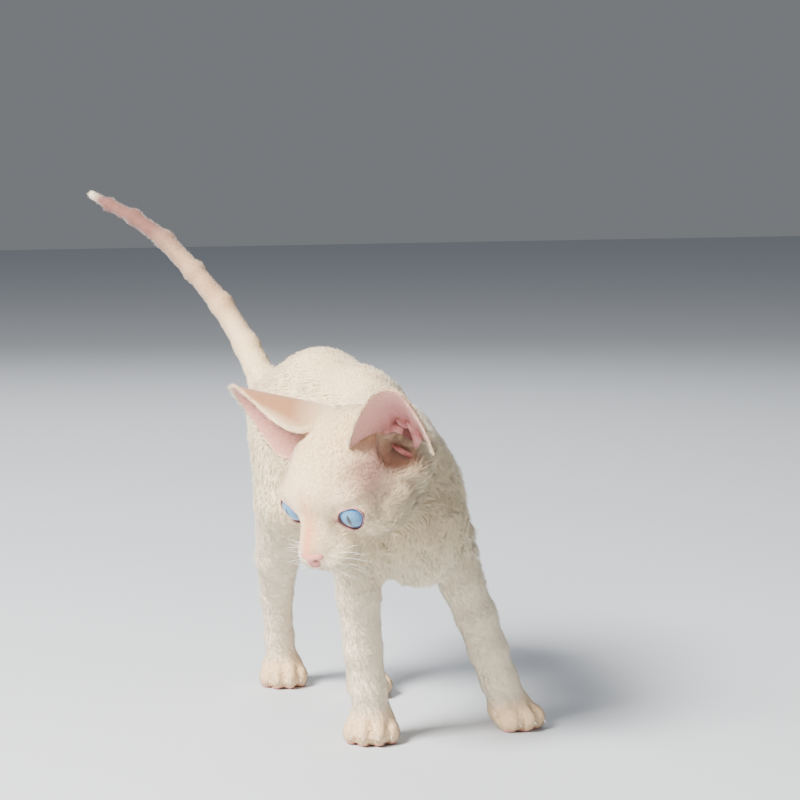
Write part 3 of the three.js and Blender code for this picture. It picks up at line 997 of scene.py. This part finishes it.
def growTufts(source, count, seed, half):
    # roots, with all that a tuft needs, drawn evenly over the density
    draw = np.random.default_rng(seed)
    tri, area = source["tris"], source["area"]
    share = area * source["density"][tri].mean(1)
    picks = np.searchsorted(np.cumsum(share), draw.uniform(0, share.sum(), count))
    picks = np.clip(picks, 0, len(tri) - 1)
    a = draw.uniform(size=(count, 2))
    over = a.sum(1) > 1
    a[over] = 1 - a[over]
    weights = np.stack([1 - a.sum(1), a[:, 0], a[:, 1]], 1)[..., None]
    corner = tri[picks]

    def at(key):
        values = source[key][corner]
        return (values * (weights if values.ndim == 3 else weights[..., 0])).sum(1)

    def leaning(along, angle, upward=None):
        upward = normal if upward is None else upward
        return along * np.cos(angle)[:, None] + upward * np.sin(angle)[:, None]

    root = at("points")
    normal = normalised(at("normal"))
    flow = at("flow")
    flow = normalised(flow - (flow * normal).sum(1, keepdims=True) * normal)
    cross = np.cross(normal, flow)
    length = at("length") * draw.uniform(0.7, 1.2, count)
    tilt = np.radians(at("tilt") + draw.normal(0, 4, count))
    curl = np.radians(at("curl"))
    scale = coatSpec["wave"]
    swing = curl * waves(root, scale, 21) + draw.normal(0, 0.24, count)
    tipSwing = curl * waves(root + flow * scale * 0.35, scale, 21) * 1.3 + draw.normal(0, 0.24, count)
    lift = curl * 0.25 * waves(root, scale * 1.2, 22)
    way = leaning(flow, swing, cross)
    tipWay = leaning(flow, tipSwing, cross)
    rise = np.clip(tilt * 1.35 + lift, 0.06, 1.3)
    tipRise = np.clip(tilt * 0.75 + lift, 0.03, 1.2)
    mid = root + leaning(way, rise) * (length * 0.5)[:, None]
    tip = mid + leaning(tipWay, tipRise) * (length * 0.5)[:, None]
    root = root - normal * 0.25
    wide = half * draw.uniform(0.75, 1.25, count) * np.clip(length / 3.2, 0.55, 1.15)
    sideways = np.cross(way, normal)
    ring = []
    for centre, size in ((root, 1.0), (mid, 0.8)):
        for turn in np.radians((0, 120, 240)):
            c, s = math.cos(turn), math.sin(turn)
            ring.append(centre + (sideways * c + normal * s * 0.6) * (wide * size)[:, None])
    verts = np.stack([*ring, tip], 1)
    colour = at("tint") * draw.normal(1, 0.035, count)[:, None]
    # painted shade: each tuft's root ring is darker; its tip is a little lighter
    shades = np.array([0.93, 0.93, 0.93, 1.0, 1.0, 1.0, 1.03])
    tint = np.clip(colour[:, None] * shades[None, :, None], 0, 0.97)
    # soft shading: each tuft mostly takes the skin's own direction
    lean = normalised(normal + 0.25 * tipWay)
    normals = np.repeat(lean[:, None], 7, 1)
    uv = at("uv")[:, None] + np.array(
        [(0, 0), (0.0015, 0), (0.003, 0), (0, 0.0015), (0.0015, 0.0015), (0.003, 0.0015), (0.0015, 0.003)]
    )
    return {"verts": verts, "tint": tint, "normals": normals, "uv": uv, "root": root}


tuftFaces = np.array([
    (0, 4, 1), (0, 3, 4), (1, 5, 2), (1, 4, 5), (2, 3, 0),
    (2, 5, 3), (3, 6, 4), (4, 6, 5), (5, 6, 3), (0, 1, 2),
])
coatPieces = []


def coatPiece(name, tufts, select):
    verts = tufts["verts"][select].reshape(-1, 3)
    count = len(verts) // 7
    faces = (tuftFaces[None] + (np.arange(count) * 7)[:, None, None]).reshape(-1, 3)
    mesh = bpy.data.meshes.new(name)
    mesh.vertices.add(len(verts))
    writeArray(mesh.vertices, "co", toScene(verts))
    mesh.loops.add(faces.size)
    writeArray(mesh.loops, "vertex_index", faces, np.int32)
    mesh.polygons.add(len(faces))
    writeArray(mesh.polygons, "loop_start", np.arange(len(faces)) * 3, np.int32)
    mesh.update(calc_edges=True)
    writeArray(mesh.polygons, "use_smooth", np.ones(len(faces)), bool)
    setTint(mesh, tufts["tint"][select].reshape(-1, 3))
    layer = mesh.uv_layers.new(name="OFBake")
    writeArray(layer.data, "uv", tufts["uv"][select].reshape(-1, 2)[faces.ravel()])
    mesh.normals_split_custom_set_from_vertices(tufts["normals"][select].reshape(-1, 3))
    mesh.materials.append(coatMaterial)
    coatPieces.append(newObject(name, mesh))


skinSource = meshArrays(skin.data)
p = skinSource["points"]
skinSource.update(
    coatPlan(p, toHead(p)),
    flow=lieOfCoat(p, skinSource["normal"], reach, skinSource["edges"]),
    uv=unwrapSkin(p, reach),
    tint=coatColour(p, reach),
)
bodyTufts = growTufts(skinSource, coatSpec["count"], coatSpec["seed"], coatSpec["half"])
order = np.argsort(bodyTufts["root"] @ (0, 0.6, -0.2))
for i, start in enumerate(range(0, len(order), coatSpec["perPiece"])):
    coatPiece(f"coatBody{i + 1}", bodyTufts, order[start : start + coatSpec["perPiece"]])
print("coat", len(coatPieces))

# the ears' fur: a fine nap behind, a soft fringe at the rim, a few hairs inside the front edge
for name, ear in ears.items():
    source = meshArrays(ear["object"].data)
    ball, spec = ear["ball"], ear["spec"]
    rise = (ball[:, 1] + 1) / 2
    behind = ball[:, 2] < 0.12
    along = earAxes(spec)[2][1] @ headAxes.T
    acrossFlow = np.cross(source["normal"], along)
    flow = along[None] + 0.5 * acrossFlow * np.sign(ball[:, 0])[:, None] * np.where(behind, -1, 1)[:, None]
    rim = fade((size(ball[:, :2]) - 0.955) / 0.03)
    source |= {
        "flow": flow,
        "length": np.where(behind, 1.3, 1.2) + rim * 1.5,
        "tilt": 16 + rim * 12, "curl": np.full(len(ball), 10.0),
        "density": np.where(behind, 1.0, 0.15) + rim * 1.2,
        "uv": ball[:, :2] * 0.1 + np.array((0.12 if spec["side"] > 0 else 0.37, 0.87)),
        "tint": mixTone(ear["tint"], "cream", np.where(behind, 0.0, 0.6) + rim * 0.6),
    }
    count = coatSpec["perEar"]
    tufts = growTufts(source, count, coatSpec["earSeed"] + spec["side"], coatSpec["earHalf"])
    coatPiece("coat" + name[0].upper() + name[1:], tufts, np.arange(count))
print("ear fur")


def tubeInto(bm, path, radii, sides, across, closed=False):
    # a grid of quads bent round a path; where the radius is nought the end closes to a point
    path = np.array(path, float)
    steps = len(path) - (0 if closed else 1)
    made = bmesh.ops.create_grid(bm, x_segments=sides, y_segments=steps, size=0.5)["verts"]
    place = np.array([(v.co.x + 0.5, v.co.y + 0.5) for v in made])
    k = np.rint(place[:, 1] * steps).astype(int)
    tangent = np.roll(path, -1, 0) - np.roll(path, 1, 0) if closed else np.gradient(path, axis=0)
    tangent = normalised(tangent)
    side = normalised(np.cross(tangent, across))
    up = np.cross(side, tangent)
    k = k % len(path)
    turn = place[:, 0] * 2 * math.pi
    r = np.array(radii, float)[k][:, None]
    where = path[k] + r * (np.cos(turn)[:, None] * side[k] + np.sin(turn)[:, None] * up[k])
    for v, co in zip(made, toScene(where)):
        v.co = co
    bmesh.ops.remove_doubles(bm, verts=made, dist=1e-7)


def closeAll(bm):
    bmesh.ops.dissolve_degenerate(bm, edges=bm.edges, dist=1e-8)
    bmesh.ops.recalc_face_normals(bm, faces=bm.faces)
    return bm


# eyes: balls that turn their pole to the gaze, with the clear front standing out a little
eyeLook = {
    "rings": [
        (0.0, srgb(40, 94, 142)), (0.30, srgb(86, 150, 194)), (0.60, srgb(70, 136, 184)),
        (0.80, srgb(38, 92, 146)), (0.92, srgb(14, 28, 48)), (1.0, srgb(150, 132, 140)),
    ],
    "fibres": [(0.35, (0.55, 0.62, 0.68)), (0.62, (1.12, 1.1, 1.06))],
    "fibreStrength": 0.75,
    "pupil": (0.006, 0.010, 0.018, 1),
    "slitEdge": (-4.0, 4.6),
}
eyeMaterial, shader = newMaterial("eyeIris", (0.5, 0.7, 0.85), 0.05)


def mathNode(kind, *values, clamp=False):
    return addNode(eyeMaterial, "Math", dict(enumerate(values)), operation=kind, use_clamp=clamp)


def product(a, b):
    return mathNode("MULTIPLY", a, b)


def quotient(a, b, clamp=False):
    return mathNode("DIVIDE", a, b, clamp=clamp)


place = addNode(eyeMaterial, "Attribute", {}, "Vector", attribute_name="eyePlace")
split = addNode(eyeMaterial, "SeparateXYZ", {"Vector": place}).node
across, upward = split.outputs["X"], split.outputs["Y"]
fromMiddle = mathNode("SQRT", mathNode("ADD", product(across, across), product(upward, upward)))
ring = addRamp(eyeMaterial, quotient(fromMiddle, eyeSpec["iris"] * 1.08, clamp=True), eyeLook["rings"])
# fibres: noise stretched along the radius
safe = mathNode("MAXIMUM", fromMiddle, 0.2)
direction = addNode(eyeMaterial, "CombineXYZ", {
    "X": product(quotient(across, safe), 7.0),
    "Y": product(quotient(upward, safe), 7.0),
    "Z": product(fromMiddle, 0.5),
})
fibres = addNode(eyeMaterial, "TexNoise", {"Scale": 1.6, "Detail": 5, "Vector": direction}, "Fac")
threads = addRamp(eyeMaterial, fibres, eyeLook["fibres"])
iris = multiplied(eyeMaterial, eyeLook["fibreStrength"], ring, threads)
slitWide, slitTall = eyeSpec["slit"]
tall = quotient(upward, slitTall)
slit = mathNode("ADD", quotient(mathNode("ABSOLUTE", across), slitWide), product(tall, tall))
inSlit = mathNode("MULTIPLY_ADD", slit, *eyeLook["slitEdge"], clamp=True)
sockets = {"Factor": inSlit, "A": iris, "B": eyeLook["pupil"]}
colour = addNode(eyeMaterial, "Mix", sockets, "Result", data_type="RGBA")
plug(eyeMaterial, shader, {"Base Color": colour, "Coat Weight": 1.0, "Coat Roughness": 0.02})

lidMaterial, shader = newMaterial("lidSkin", srgb(112, 66, 64), 0.35)
rimSpec = {"steps": 120, "sides": 10, "thick": 0.36, "cornerThick": 0.22, "sits": 0.25}
eyes = {}
rims = bmesh.new()
for name, side in (("eyeLeft", 1), ("eyeRight", -1)):
    outward, up, gaze = eyeFrame(side)
    centre = eyeCentre(side)
    bm = bmesh.new()
    bmesh.ops.create_uvsphere(bm, u_segments=96, v_segments=64, radius=1)
    eye = meshObject(name, bm)
    ball = getPoints(eye.data)
    bulge = 1 + 0.035 * fade((ball[:, 2] - 0.62) / 0.38) ** 1.5
    rel = ball * (eyeSpec["radius"] * bulge)[:, None]
    q = centre + rel[:, :1] * outward + rel[:, 1:2] * up + rel[:, 2:] * gaze
    setPoints(eye.data, toScene(fromHead(q)))
    spot = eye.data.attributes.new("eyePlace", "FLOAT_VECTOR", "POINT")
    flat = np.where(ball[:, 2:] > 0, rel * (1, 1, 0), (20, 20, 0))
    writeArray(spot.data, "vector", flat)
    faceOutward(eye.data)
    eye.data.materials.append(eyeMaterial)
    eyes[name] = eye
    # the lids' dark rim
    w = eyeSpec["halfWidth"]
    angle = np.linspace(0, 2 * math.pi, rimSpec["steps"], endpoint=False)
    x = -w * np.cos(angle)
    top, low = lidHeights(x / w)
    y = eyeSpec["slant"] * x + np.where(angle < math.pi, top, -low)
    deep = np.sqrt(np.clip((eyeSpec["radius"] + rimSpec["sits"]) ** 2 - x**2 - y**2, 1, None))
    path = centre + x[:, None] * outward + y[:, None] * up + deep[:, None] * gaze
    thick = rimSpec["thick"] + rimSpec["cornerThick"] * fade(-x / w) ** 4
    tubeInto(rims, fromHead(path), thick, rimSpec["sides"], headAxes @ gaze, closed=True)
lidRims = meshObject("lidRims", closeAll(rims))
lidRims.data.materials.append(lidMaterial)
print("eyes")

# the nose leather, with its nostrils and the cleft under it
noseSpec = {
    "middle": np.array((0, -34.8, -10.9)),
    "nostril": (2.75, -10.5),
    "depth": 1.3,
    "cleftDepth": 0.5,
    "reach": 9.0,
    "colour": srgb(226, 150, 142),
}
noseForm = join(1.6, egg((0, -34.5, -9.8), (5.9, 3.6, 3.1)), egg((0, -35, -12.6), (3.1, 3.0, 3.3)))
bm = bmesh.new()
bmesh.ops.create_icosphere(bm, subdivisions=5, radius=1)
nose = meshObject("noseLeather", bm)
ball = normalised(getPoints(nose.data))
near, far = np.zeros(len(ball)), np.full(len(ball), noseSpec["reach"])
for _ in range(26):
    half = (near + far) / 2
    outside = noseForm(noseSpec["middle"] + ball * half[:, None]) > 0
    near, far = np.where(outside, near, half), np.where(outside, half, far)
q = noseSpec["middle"] + ball * near[:, None]
x, y, z = q.T
wing, level = noseSpec["nostril"]
inNostril = np.zeros(len(q))
for s in both:
    hole = bump(x * s, wing, 1.0) * bump(z, level - 0.2, 0.75)
    slot = bump(z + 0.35 * (x * s - wing), level - 0.6, 0.4) * bump(x * s, wing + 1.5, 1.1)
    inNostril = np.maximum(inNostril, np.maximum(hole, 0.8 * slot))
inNostril = inNostril * (y < -34.5)
cleft = bump(x, 0, 0.3) * fade((-z - 10.4) / 1.5) * (y < -34)
pressed = inNostril * noseSpec["depth"] + cleft * noseSpec["cleftDepth"]
setPoints(nose.data, toScene(fromHead(q + pressed[:, None] * (0, 1, 0))))
# the peach on top is the nose's own colour; painted shade: deeper pink in the cleft and under the nose,
# near-black in the nostrils
setTint(nose.data, painted(len(q), noseSpec["colour"], [
    ("peach", np.clip((z + 9.5) / 3, 0, 0.6)),
    ("deepPink", cleft * 0.8 + 0.6 * fade((-z - 12.2) / 2)),
    ("recessShade", inNostril),
]))
noseMaterial, shader = newMaterial("noseSkin", noseSpec["colour"], 0.42)
place = addNode(noseMaterial, "TexCoord", {}, "Object")
pebbles = addNode(noseMaterial, "TexVoronoi", {"Scale": 2600, "Vector": place}, "Distance")
relief = addNode(noseMaterial, "Bump", {"Strength": 0.3, "Distance": 0.0001, "Height": pebbles}, "Normal")
plug(noseMaterial, shader, {"Base Color": addTint(noseMaterial), "Normal": relief})
nose.data.materials.append(noseMaterial)
print("nose")


# folds at the bottom of each ear, in the ear's own across, along and front
foldSpec = {"steps": 26, "sides": 14, "bluntness": 0.45, "shadowStrength": 0.85}
foldFit = {1: {"forward": 0, "share": 1}, -1: {"forward": 2.4, "share": 0.7}}  # by the ear's side
foldPlan = [
    {"path": [(-8.5, -1, 4.9), (-7.5, 2.5, 3.0), (-4, 4.8, 2.2), (-1.6, 2.4, 2.3), (-1.6, -3, 2.8)],
     "size": 2.3},
    {"path": [(2.6, 10, 1.0), (5.2, 4, 2.6), (5.4, -3, 4.2), (3.2, -9, 6.2)], "size": 2.2},
    {"path": [(-5.4, -4.5, 8.0), (-1.4, -7.6, 9.0), (2, -10, 9.6), (4.2, -12.5, 9.6)], "size": 1.4},
    {"path": [(-2.6, 9, 0.4), (0.2, 6.8, 1.0), (2.2, 3.6, 1.6)], "size": 1.7},
    # the last fold is a painted shadow: a dark tube along the lower inner edge, where the ear's front falls
    # into shade
    {"path": [(-5, 3, 0.2), (-0.5, 0, 0.4), (3.5, -4, 1.4), (4, -9, 2.4)], "size": 3.7, "dark": True},
]


def smoothPath(points, steps):
    # a rounded line through the points
    pts = np.array(points, float)
    t = np.linspace(0, len(pts) - 1, steps)
    out = np.stack([np.interp(t, np.arange(len(pts)), pts[:, i]) for i in range(3)], 1)
    for _ in range(steps // 2):
        out[1:-1] = (out[:-2] + 2 * out[1:-1] + out[2:]) / 4
    return out


def inCup(q, spec):
    # lifts points that lie behind an ear's wall onto it
    base, height, axes = earAxes(spec)
    across, along, front = axes @ (q - base).T
    rise = fade((along + earShape["sink"]) / (height + earShape["sink"]))
    lift = cupLift(across / spec["width"], rise, spec)
    return q + np.clip(lift - front, 0, None)[:, None] * axes[2]


bm = bmesh.new()
shadowFoldLayer = bm.verts.layers.float.new("dark")
for name, ear in ears.items():
    spec = ear["spec"]
    fit = foldFit[spec["side"]]
    base, _, axes = earAxes(spec)
    for fold in foldPlan:
        line = smoothPath(fold["path"], foldSpec["steps"]) + (0, 0, fit["forward"])
        path = base + line * (spec["side"], 1, 1) @ axes
        blunt = np.sin(np.linspace(0, math.pi, foldSpec["steps"])) ** foldSpec["bluntness"]
        had = set(bm.verts)
        radii = fold["size"] * fit["share"] * blunt
        tubeInto(bm, fromHead(path), radii, foldSpec["sides"], headAxes @ axes[2])
        tube = [v for v in bm.verts if v not in had]
        places = toHead(fromScene(np.array([tuple(v.co) for v in tube])))
        for v, co in zip(tube, toScene(fromHead(inCup(places, spec)))):
            v.co = co
            v[shadowFoldLayer] = foldSpec["shadowStrength"] * fold.get("dark", False)
shadowFoldLayer = bm.verts.layers.float.get("dark")
foldShadow = np.array([v[shadowFoldLayer] for v in closeAll(bm).verts])
folds = meshObject("earFolds", bm)
foldPoints = fromScene(getPoints(folds.data))
setTint(folds.data, painted(len(foldPoints), tones["earMauve"], [
    ("skinPink", 0.35 + 0.4 * waves(foldPoints, 4, 13)),
    ("deepPink", 0.1 + 0.4 * waves(foldPoints, 5, 12)),
    # painted shadow on the dark fold
    ("recessShade", foldShadow),
]))
folds.data.materials.append(skinMaterial)

# whiskers and brow hairs
hairSpec = {
    "whisker": {"long": (5, 9.5), "droop": (0.1, 0.35, -0.3), "thick": 0.085},
    "brow": {"long": (5, 8), "droop": (0.1, 0.3, 0.1), "thick": 0.06},
    "sunk": 0.6,
    "rootJitter": 0.35,
    "aimJitter": 0.09,
    "seed": 5,
}
hairDraw = np.random.default_rng(hairSpec["seed"])
bm = bmesh.new()
hairPlan = []


def planHair(kind, side, *places):
    # places: the root, the aim; both and the droop are mirrored on the right
    spec = hairSpec[kind]
    root, aim, droop = [np.array(v) * (side, 1, 1) for v in (*places, spec["droop"])]
    hairPlan.append((root, aim, hairDraw.uniform(*spec["long"]), droop, spec["thick"]))


for s in both:
    for row in range(4):
        for i in range(4):
            root = (5.6 + 2.1 * i, -33.2 + 2.0 * i, -12.6 - 1.7 * row)
            planHair("whisker", s, root, (0.75 + 0.12 * i, -0.45 + 0.22 * i, 0.25 - 0.24 * row))
    for i in range(3):
        planHair("brow", s, (13.5 + 1.4 * i, -21.5 + 0.6 * i, 10.5 + 0.4 * i), (0.35, -0.6, 0.75))
for root, aim, long, droop, thick in hairPlan:
    root = root + hairDraw.normal(0, hairSpec["rootJitter"], 3)
    aim = unit(aim + hairDraw.normal(0, hairSpec["aimJitter"], 3))
    for _ in range(12):
        # settle the root on the skin
        root = root - gradient(headShape, root[None])[0] * (headShape(root[None])[0] + hairSpec["sunk"])
    t = np.linspace(0, 1, 15)[:, None]
    path = root + aim * long * t + droop * long * 0.45 * t**2
    path = path + (0, 0, 0.25) * np.sin(t * 5 + root[0])
    tubeInto(bm, fromHead(path), thick * (1 - t[:, 0]) ** 0.6, 6, headAxes @ (0.3, 0.4, 0.8))
whiskers = meshObject("whiskers", closeAll(bm))
whiskerMaterial, shader = newMaterial("whiskerWhite", (0.94, 0.93, 0.90), 0.35)
whiskers.data.materials.append(whiskerMaterial)

# claws and pads
clawSpec = {"long": 2.6, "drop": 2.1, "thick": 0.5, "fan": 0.02}
padSpec = {"thick": 0.85, "toe": (0.5, 0.62), "palm": (5.4, 4.4), "palmBack": -2.5, "lobes": 0.12}
clawMesh = bmesh.new()
padMesh = bmesh.new()


def addPad(paw, across, ahead, wide, long, lobes=0.0):
    middle = np.array(pawPoint(paw, across, ahead, padSpec["thick"]))
    size = np.array((wide, long, padSpec["thick"]))
    spin = turned(("Z", paw["heading"]))
    for v in bmesh.ops.create_icosphere(padMesh, subdivisions=3, radius=1)["verts"]:
        lobe = 1 - lobes * math.cos(3 * math.atan2(v.co.x, v.co.y))
        v.co = toScene(middle + spin @ (np.array(v.co) * size * (lobe, lobe, 1)))


for name, paw in paws.items():
    turn = math.radians(paw["heading"])
    ahead = np.array((math.sin(turn), -math.cos(turn), 0))
    aside = np.array((math.cos(turn), math.sin(turn), 0))
    for x, y, r in toePlan:
        way = unit(ahead + x * clawSpec["fan"] * aside)
        start = np.array(pawPoint(paw, x, y + r * 1.02, r * 0.95))
        t = np.linspace(0, 1, 9)[:, None]
        path = start + way * clawSpec["long"] * t - (0, 0, clawSpec["drop"]) * t**2
        tubeInto(clawMesh, path, clawSpec["thick"] * (1 - t[:, 0]) ** 0.7, 10, (0, 0, 1))
        addPad(paw, x, y + 0.6, r * padSpec["toe"][0], r * padSpec["toe"][1])
    wide, long = padSpec["palm"]
    addPad(paw, 0, padSpec["palmBack"], wide * paw["width"], long, padSpec["lobes"])
claws = meshObject("claws", closeAll(clawMesh))
claws.data.materials.append(newMaterial("clawHorn", srgb(236, 214, 206), 0.3)[0])
pawPads = meshObject("pawPads", closeAll(padMesh))
pawPads.data.materials.append(newMaterial("padSkin", srgb(222, 150, 142), 0.6)[0])
print("folds, whiskers, claws and pads")


# everything rides with the one body
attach(skin, "root")
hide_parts(*fleshNodes)
for name, ear in ears.items():
    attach(ear["object"], "root")
    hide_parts(ear["spec"]["node"])
for piece in coatPieces:
    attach(piece, "root")
for piece, node, slotName in (
    (eyes["eyeLeft"], "eye_left", "eye"),
    (eyes["eyeRight"], "eye_right", "eye"),
    (nose, "nose", "nose"),
):
    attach(piece, "root")
    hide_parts(node)
smallPieces = ((lidRims, "face"), (folds, "ear"), (whiskers, "face"), (claws, "paw"), (pawPads, "paw"))
for piece, slotName in smallPieces:
    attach(piece, "root")
